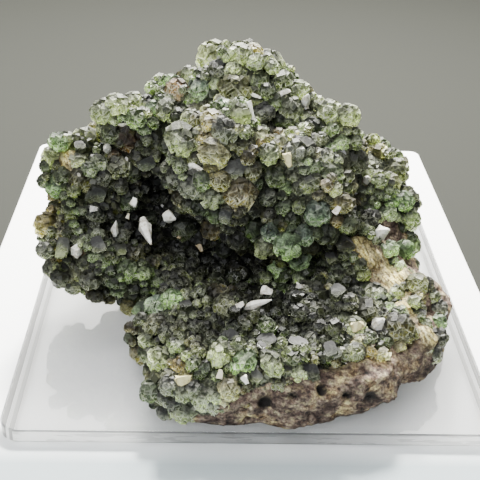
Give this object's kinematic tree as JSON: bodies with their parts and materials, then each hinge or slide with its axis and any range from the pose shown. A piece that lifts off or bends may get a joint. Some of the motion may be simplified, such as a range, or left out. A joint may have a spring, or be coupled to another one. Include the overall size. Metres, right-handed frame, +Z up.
{
  "type": "fluorite specimen",
  "caption": "Green fluorite crystal cluster on brown matrix rock with small white calcite points, resting on a square clear acrylic display base.",
  "frame": {"origin": "centre of the display base's underside, which is the middle of the footprint", "axes": "+Z up; -Y towards the viewer of the specimen's open front; +X to the viewer's right"},
  "size_m": [0.1, 0.1, 0.0611],
  "materials": {
    "clear_acrylic": "clear cast acrylic with polished edges",
    "matrix_rock": "rough brown and tan layered rock",
    "green_fluorite": "translucent grey-green crystals with bright rims",
    "white_calcite": "matt white, slightly translucent points"
  },
  "bodies": {
    "root": {"acrylic_base": "clear_acrylic", "matrix_rock": "matrix_rock", "fluorite_crust": "green_fluorite", "calcite_01": "white_calcite", "calcite_02": "white_calcite", "calcite_03": "white_calcite", "calcite_04": "white_calcite", "calcite_05": "white_calcite", "calcite_06": "white_calcite", "calcite_07": "white_calcite", "calcite_08": "white_calcite", "calcite_09": "white_calcite", "calcite_10": "white_calcite", "calcite_11": "white_calcite", "calcite_12": "white_calcite"}
  },
  "joints": []
}
